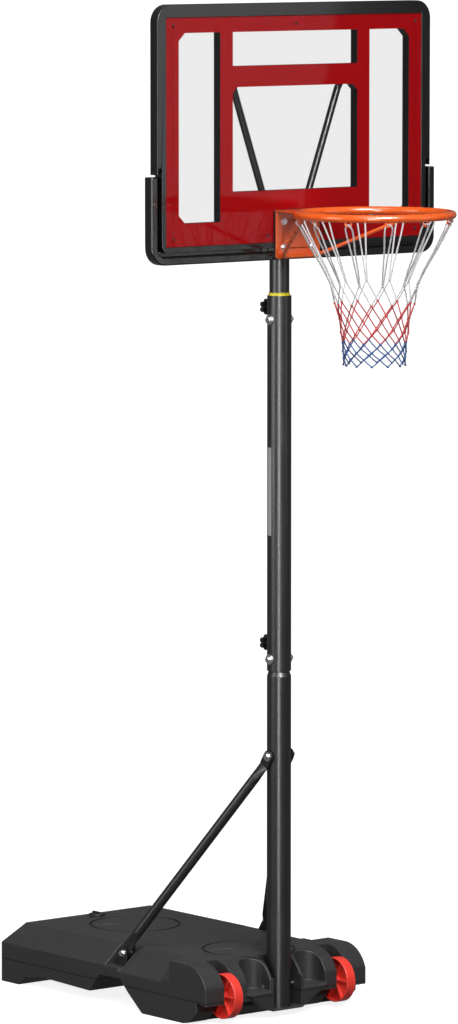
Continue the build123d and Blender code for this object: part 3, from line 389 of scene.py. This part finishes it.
# painted shade darkens the engraved rings, and the mould's halves leave a dark parting line round the
# walls
tank_tree = tank_plastic.node_tree
tank_shader = tank_tree.nodes["Principled BSDF"]
tank_place = make(tank_tree, "TexCoord").outputs["Object"]
level_place = make(tank_tree, "VectorMath", {0: tank_place, 1: (1, 1, 0)}, operation="MULTIPLY")
marks = []
for centre in groove_centres:
    from_middle = make(
        tank_tree,
        "VectorMath",
        {0: level_place.outputs[0], 1: (0, pole_y + centre, 0)},
        operation="DISTANCE",
    )
    marks.append((from_middle.outputs["Value"], groove_radius - groove_width / 2, groove_width / 2))
tank_axes = make(tank_tree, "SeparateXYZ", {0: tank_place})
marks.append((tank_axes.outputs["Z"], parting_height, parting_half_width))
ring_shade_and_seam_mask = 0.0
for measure, line_middle, line_half in marks:
    off_line = make(tank_tree, "Math", {0: measure, 1: line_middle}, operation="SUBTRACT")
    off_by = make(tank_tree, "Math", {0: off_line.outputs[0]}, operation="ABSOLUTE")
    on_line = make(
        tank_tree,
        "MapRange",
        {
            "Value": off_by.outputs[0],
            "From Min": line_half,
            "From Max": line_half * line_fade,
            "To Min": 1,
            "To Max": 0,
        },
    )
    ring_shade_and_seam_mask = make(tank_tree, "Math", {0: ring_shade_and_seam_mask, 1: on_line.outputs[0]}, operation="MAXIMUM").outputs[0]
# the rings' painted shade and the dark parting line are mixed in near black
plain_skin = tank_shader.inputs["Base Color"].links[0].from_socket
ring_shade_and_seam_colour = blended(tank_tree, ring_shade_and_seam_mask, plain_skin, (0.004, 0.004, 0.004, 1))
tank_tree.links.new(ring_shade_and_seam_colour, tank_shader.inputs["Base Color"])

tank_shell = rolled_copy("base_tank", "tank_shell", 0.011, angle=24, share=tank_roll)
hand_over(tank_shell, tank_plastic, "base", "base_tank")

# ---------------------------------------------------------------- water in the tank
# Tap water fills the shell up to the fill line. It is sealed in and never seen from outside.
water = bpy.data.materials.new("ballast_water")
water.use_nodes = True
water_tree = water.node_tree
ripples = make(
    water_tree,
    "TexNoise",
    {"Vector": make(water_tree, "TexCoord").outputs["Object"], "Scale": 9.0, "Detail": 3},
)
swell = make(water_tree, "Bump", {"Height": ripples.outputs["Fac"], "Distance": 0.002})
water_shader = water_tree.nodes["Principled BSDF"]
water_shader.inputs["Base Color"].default_value = (0.7, 0.82, 0.88, 1)
water_shader.inputs["Roughness"].default_value = 0.05
water_tree.links.new(swell.outputs[0], water_shader.inputs["Normal"])
dress(water, "ballast_water")

# ---------------------------------------------------------------- fill cap and seal
# A screw cap of black polypropylene with a finger bar, on a flat rubber seal.
black_plastic = finish(
    "black_plastic",
    (0.014, 0.014, 0.015),
    (0.07, 0.07, 0.075),
    (0.0008, 0.00006),
    0.38,
    wear=0.4,
    dusty=0.04,
)
seal_rubber = finish(
    "seal_rubber",
    (0.012, 0.012, 0.012),
    (0.04, 0.04, 0.04),
    (0.0006, 0.00008),
    0.75,
    wear=0.2,
    dusty=0.1,
)
dress(seal_rubber, "cap_seal")
cap_shell = rolled_copy("fill_cap", "fill_cap_shell", 0.0009)
hand_over(cap_shell, black_plastic, "fill_cap", "fill_cap")

# ---------------------------------------------------------------- wheels and axles
# Two hard red wheels, each moulded in one piece with a web and six ribs a face, on steel pins.
wheel_red = finish(
    "wheel_plastic",
    (0.95, 0.048, 0.030),
    (0.95, 0.22, 0.17),
    (0.0012, 0.00005),
    0.36,
    wear=0.5,
    dusty=0.03,
    Coat_Weight=0.15,
    Coat_Roughness=0.25,
)
for side in ("left", "right"):
    wheel = rolled_copy(f"wheel_{side}", f"wheel_{side}_moulding", 0.001, segments=2)
    hand_over(wheel, wheel_red, f"wheel_{side}", f"wheel_{side}")

# ---------------------------------------------------------------- pole, struts and braces
# Rolled steel tubes with a satin black powder coat. The struts' ends are pressed flat. The lugs,
# the bracket and the weld nuts have the same coat.
pole_paint = finish(
    "pole_paint",
    (0.0085, 0.0085, 0.009),
    (0.05, 0.05, 0.055),
    (0.0007, 0.00003),
    0.36,
    wear=0.3,
    dusty=0.02,
    Specular_IOR_Level=0.7,
    Coat_Weight=0.2,
    Coat_Roughness=0.2,
)
dress(
    pole_paint,
    "lower_pole",
    "middle_pole",
    "upper_pole",
    "base_strut_left",
    "base_strut_right",
    "backboard_brace_left",
    "backboard_brace_right",
    "knob_weld_nuts",
)
for name, body in (("strut_lugs", "base"), ("pole_bracket", "hoop_head")):
    steel_part = rolled_copy(name, name + "_steel", 0.0008, segments=2)
    hand_over(steel_part, pole_paint, body, name)

# ---------------------------------------------------------------- caps and locking knobs
# Black mouldings: end caps of the tubes, spacers, and the two star knobs.
dress(
    black_plastic,
    "pole_foot_cap",
    "upper_pole_top_cap",
    "upper_pole_foot_cap",
    "strut_spacers",
    "lug_spacers",
    "rim_spacer",
)
for name in ("knob_upper", "knob_lower"):
    knob = rolled_copy(name, name + "_star", 0.0008, segments=2)
    hand_over(knob, black_plastic, name, name)

# ---------------------------------------------------------------- bolts, washers and pins
# Zinc-plated steel, a little uneven and brushed by the wrench.
zinc = bpy.data.materials.new("zinc_steel")
zinc.use_nodes = True
zinc_tree = zinc.node_tree
zinc_skin = use_group(
    zinc_tree, grain, grain_size=0.002, grain_depth=0.00004, roughness=0.26, unevenness=0.5
)
zinc_rub = use_group(zinc_tree, edge_wear, reach=0.0012, amount=0.7)
zinc_shader = zinc_tree.nodes["Principled BSDF"]
zinc_deep = blended(zinc_tree, zinc_skin["Tone"], (0.42, 0.42, 0.44, 1), (0.72, 0.72, 0.74, 1))
zinc_lit = blended(zinc_tree, zinc_rub["Edge"], zinc_deep, (0.92, 0.92, 0.93, 1))
zinc_tree.links.new(zinc_lit, zinc_shader.inputs["Base Color"])
zinc_tree.links.new(zinc_skin["Roughness"], zinc_shader.inputs["Roughness"])
zinc_tree.links.new(zinc_skin["Normal"], zinc_shader.inputs["Normal"])
zinc_shader.inputs["Metallic"].default_value = 1
dress(
    zinc,
    "wheel_axle_left",
    "wheel_axle_right",
    "foot_pin",
    "knob_stud_upper",
    "knob_stud_lower",
)
for name, body in (
    ("joint_bolt", "base"),
    ("lock_bolt", "base"),
    ("strut_top_bolt", "base"),
    ("strut_foot_bolts", "base"),
    ("saddle_washers", "base"),
    ("bracket_bolts", "hoop_head"),
    ("brace_screws", "hoop_head"),
    ("rim_bolts", "hoop_head"),
):
    fixing = rolled_copy(name, name + "_zinc", 0.0006, segments=2)
    hand_over(fixing, zinc, body, name)

# ---------------------------------------------------------------- guide ring and blank strip
# A yellow guide ring keeps the upper tube central. A pale strip with nothing on it is stuck
# along the middle tube.
guide_plastic = finish(
    "guide_plastic",
    (0.86, 0.74, 0.02),
    (0.95, 0.88, 0.3),
    (0.001, 0.00004),
    0.35,
    wear=0.4,
    dusty=0.05,
)
strip_paper = finish(
    "strip_paper",
    (0.33, 0.33, 0.33),
    (0.5, 0.5, 0.5),
    (0.0005, 0.00002),
    0.55,
    wear=0.2,
    dusty=0.1,
)
dress(guide_plastic, "guide_ring")
dress(strip_paper, "blank_strip")

# ---------------------------------------------------------------- backboard
# A gloss black frame holds a clear sheet. A red film behind the sheet leaves four clear windows.
frame_black = finish(
    "frame_plastic",
    (0.0055, 0.0055, 0.006),
    (0.06, 0.06, 0.065),
    (0.004, 0.00002),
    0.2,
    wear=0.35,
    dusty=0.03,
    Coat_Weight=0.5,
    Coat_Roughness=0.08,
)
board_frame = rolled_copy("backboard_frame", "board_frame", 0.0016)
hand_over(board_frame, frame_black, "hoop_head", "backboard_frame")
guard = rolled_copy("edge_guard", "edge_guard_moulding", 0.002)
hand_over(guard, frame_black, "hoop_head", "edge_guard")

red_film = finish(
    "red_film",
    (0.62, 0.0025, 0.006),
    (0.62, 0.02, 0.02),
    (0.02, 0.00001),
    0.4,
    wear=0.0,
    dusty=0.0,
    Specular_IOR_Level=0.0,
    Coat_Weight=0.6,
    Coat_Roughness=0.03,
)
dress(red_film, "backboard_print")

clear_sheet = bpy.data.materials.new("clear_sheet")
clear_sheet.use_nodes = True
clear_tree = clear_sheet.node_tree
clear_shader = clear_tree.nodes["Principled BSDF"]
clear_skin = use_group(
    clear_tree, grain, grain_size=0.05, grain_depth=0.00001, roughness=0.06, unevenness=0.06
)
clear_dirt = use_group(clear_tree, dust, amount=0.2)
clear_colour = blended(
    clear_tree, clear_dirt["Dust"], (0.006, 0.006, 0.007, 1), (0.3, 0.3, 0.3, 1)
)
clear_tree.links.new(clear_colour, clear_shader.inputs["Base Color"])
clear_tree.links.new(clear_skin["Roughness"], clear_shader.inputs["Roughness"])
clear_tree.links.new(clear_skin["Normal"], clear_shader.inputs["Normal"])
clear_shader.inputs["Specular IOR Level"].default_value = 0.1
clear_shader.inputs["Alpha"].default_value = 0.15
sheet_panel = rolled_copy("backboard_sheet", "sheet_panel", 0.0005, segments=2)
# a hair of air between the sheet's back and the film keeps the two faces apart
sheet_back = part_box("backboard_sheet")[1].y
air_gap = 0.0004
for corner in sheet_panel.data.vertices:
    if corner.co.y > sheet_back - air_gap:
        corner.co.y -= air_gap
hand_over(sheet_panel, clear_sheet, "hoop_head", "backboard_sheet")

screw_black = finish(
    "black_screws",
    (0.02, 0.02, 0.02),
    (0.12, 0.12, 0.12),
    (0.001, 0.00003),
    0.35,
    wear=0.5,
    dusty=0.0,
    Metallic=0.6,
)
dress(screw_black, "backboard_screws")

# ---------------------------------------------------------------- ring, bracket, brace and hooks
# Round steel tube bent into a ring, welded to a pressed bracket, held up by a thinner bent rod,
# with twelve wire hooks under it. All of it is painted gloss orange.
rim_paint = finish(
    "rim_paint",
    (0.90, 0.115, 0.006),
    (0.98, 0.36, 0.12),
    (0.003, 0.00004),
    0.28,
    wear=0.35,
    dusty=0.0,
    Coat_Weight=0.6,
    Coat_Roughness=0.06,
)
dress(rim_paint, "rim_ring", "rim_brace", "net_hooks")
rim_plate = rolled_copy("rim_bracket", "rim_bracket_plate", 0.0014)
hand_over(rim_plate, rim_paint, "hoop_head", "rim_bracket")

# ---------------------------------------------------------------- net
# Braided polyester cord. A loop hangs on each of the twelve hooks, its two legs are knotted
# together, and the cords then run on in two crossing families, knotted at each crossing. The
# top is white, then comes a red band and a blue one.
ring_low, ring_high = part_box("rim_ring")
ring_middle = Vector(((ring_low.x + ring_high.x) / 2, (ring_low.y + ring_high.y) / 2, 0))
ring_height = (ring_low.z + ring_high.z) / 2
hook_reach = 0.2365
hook_count = 12
leg_radius = 0.0026
cord_radius = 0.0021
net_rows = (
    (2.3235, 0.137),
    (2.2615, 0.122),
    (2.2157, 0.108),
    (2.1727, 0.103),
    (2.1438, 0.0985),
    (2.1160, 0.0965),
    (2.0960, 0.0955),
    (2.0745, 0.0945),
)
red_row = 1
blue_row = 4
chance = random.Random(7)


def on_net(turn, radius, height, aside=0.0):
    """A point of the net: turn counts in hooks from the court side, aside runs along the ring."""
    angle = 2 * pi * turn / hook_count - pi / 2
    outward = Vector((cos(angle), sin(angle), 0))
    along = Vector((-sin(angle), cos(angle), 0))
    return ring_middle + outward * radius + along * aside + Vector((0, 0, height))


def cord_tube(name, runs, radius):
    """Cords of one colour: each run is a list of points that a smooth round tube follows."""
    line = bpy.data.curves.new(name, "CURVE")
    line.dimensions = "3D"
    line.bevel_depth = radius
    line.bevel_resolution = 2
    line.use_fill_caps = True
    line.resolution_u = 3
    for run in runs:
        spline = line.splines.new("NURBS")
        spline.points.add(len(run) - 1)
        for point, place in zip(spline.points, run):
            point.co = (*place, 1)
        spline.order_u = 3
        spline.use_endpoint_u = True
    cord = bpy.data.objects.new(name, line)
    scene.collection.objects.link(cord)
    only_select(cord)
    bpy.ops.object.convert(target="MESH")
    bpy.ops.object.shade_smooth()
    return bpy.context.object


def knot_mesh():
    """A tight knot: two short wraps of cord that cross."""
    wraps = []
    for tilt in (38, -38):
        bpy.ops.mesh.primitive_torus_add(
            major_segments=12,
            minor_segments=6,
            major_radius=0.0026,
            minor_radius=0.0019,
            rotation=(radians(tilt), 0, 0),
        )
        wraps.append(bpy.context.object)
        bpy.ops.object.transform_apply(location=False, rotation=True, scale=False)
    only_select(wraps[0])
    wraps[1].select_set(True)
    bpy.ops.object.join()
    return bpy.context.object


def net_material(name, colour, shade):
    """Braided cord: fine plaits, fuzz on the edges, and painted shade in the hollows between the yarns.
    """
    material = bpy.data.materials.new(name)
    material.use_nodes = True
    tree = material.node_tree
    shader = tree.nodes["Principled BSDF"]
    place = make(tree, "TexCoord").outputs["Object"]
    plaits = make(
        tree,
        "TexWave",
        {"Vector": place, "Scale": 160.0, "Distortion": 2.5, "Detail": 2, "Detail Scale": 3.0},
        bands_direction="Z",
    )
    fuzz = make(tree, "TexNoise", {"Vector": place, "Scale": 900.0, "Detail": 3})
    yarn = make(tree, "Math", {0: plaits.outputs["Fac"], 1: 0.75}, operation="MULTIPLY")
    height = make(
        tree,
        "Math",
        {0: fuzz.outputs["Fac"], 1: 0.4, 2: yarn.outputs[0]},
        operation="MULTIPLY_ADD",
    )
    bumps = make(tree, "Bump", {"Height": height.outputs[0], "Distance": 0.0005, "Strength": 0.7})
    # the hollows between the plaits take the painted shade colour
    coloured = blended(tree, plaits.outputs["Fac"], (*shade, 1), (*colour, 1))
    tree.links.new(coloured, shader.inputs["Base Color"])
    tree.links.new(bumps.outputs[0], shader.inputs["Normal"])
    shader.inputs["Roughness"].default_value = 0.75
    shader.inputs["Sheen Weight"].default_value = 0.25
    return material


def sagging_run(rows, first_turn, step):
    """One cord from knot to knot, half a hook further at each row, with a little slack."""
    points = []
    for index, (height, radius) in enumerate(rows):
        turn = first_turn + step * index / 2
        points.append(on_net(turn, radius, height))
        if index + 1 < len(rows):
            low, low_radius = rows[index + 1]
            for share in (0.3, 0.7):
                slack = 0.0015 * chance.uniform(0.2, 1.0)
                points.append(
                    on_net(
                        turn + step * share / 2,
                        radius + (low_radius - radius) * share - slack,
                        height + (low - height) * share - slack,
                    )
                )
    return points


hook_loops = []
for hook in range(hook_count):
    knot_height, knot_radius = net_rows[0]
    swing = chance.uniform(-0.003, 0.003)
    half = [
        (0.0015, knot_radius, knot_height),
        (0.004, knot_radius + 0.018, knot_height + 0.04),
        (0.008 + swing, knot_radius + 0.055, knot_height + 0.1),
        (0.0125, hook_reach - 0.008, ring_height - 0.038),
        (0.0100, hook_reach - 0.005, ring_height - 0.027),
        (0.0040, hook_reach - 0.003, ring_height - 0.0185),
    ]
    left = [on_net(hook, radius, height, -aside) for aside, radius, height in half]
    right = [
        on_net(hook, radius + (0.010 if height > ring_height - 0.03 else 0.0), height, aside)
        for aside, radius, height in reversed(half)
    ]
    hook_loops.append(left + right)

white_cord = net_material("white_cord", (0.78, 0.77, 0.78), (0.42, 0.41, 0.42))
red_cord = net_material("red_cord", (0.72, 0.045, 0.05), (0.36, 0.012, 0.015))
blue_cord = net_material("blue_cord", (0.03, 0.13, 0.42), (0.01, 0.045, 0.17))

bands = (
    ("net_white", white_cord, 0, red_row),
    ("net_red", red_cord, red_row, blue_row),
    ("net_blue", blue_cord, blue_row, len(net_rows) - 1),
)
for name, cord_colour, first, last in bands:
    runs = [
        sagging_run(net_rows[first : last + 1], hook + first / 2 * step, step)
        for hook in range(hook_count)
        for step in (-1, 1)
    ]
    band = cord_tube(name, runs, cord_radius)
    parts = [band]
    if first == 0:
        parts.append(cord_tube("hook_loops", hook_loops, leg_radius))
    knot_rows = range(first, last + (1 if last == len(net_rows) - 1 else 0))
    for row in knot_rows:
        height, radius = net_rows[row]
        for hook in range(hook_count):
            knot = knot_mesh()
            turn = hook + row / 2
            spin = Matrix.Rotation(2 * pi * turn / hook_count, 4, "Z")
            knot.data.transform(Matrix.Translation(on_net(turn, radius, height)) @ spin)
            knot.matrix_world = Matrix.Identity(4)
            parts.append(knot)
    only_select(band)
    for part in parts:
        part.select_set(True)
    bpy.ops.object.join()
    bpy.ops.object.shade_smooth()
    hand_over(band, cord_colour, "hoop_head", "net")
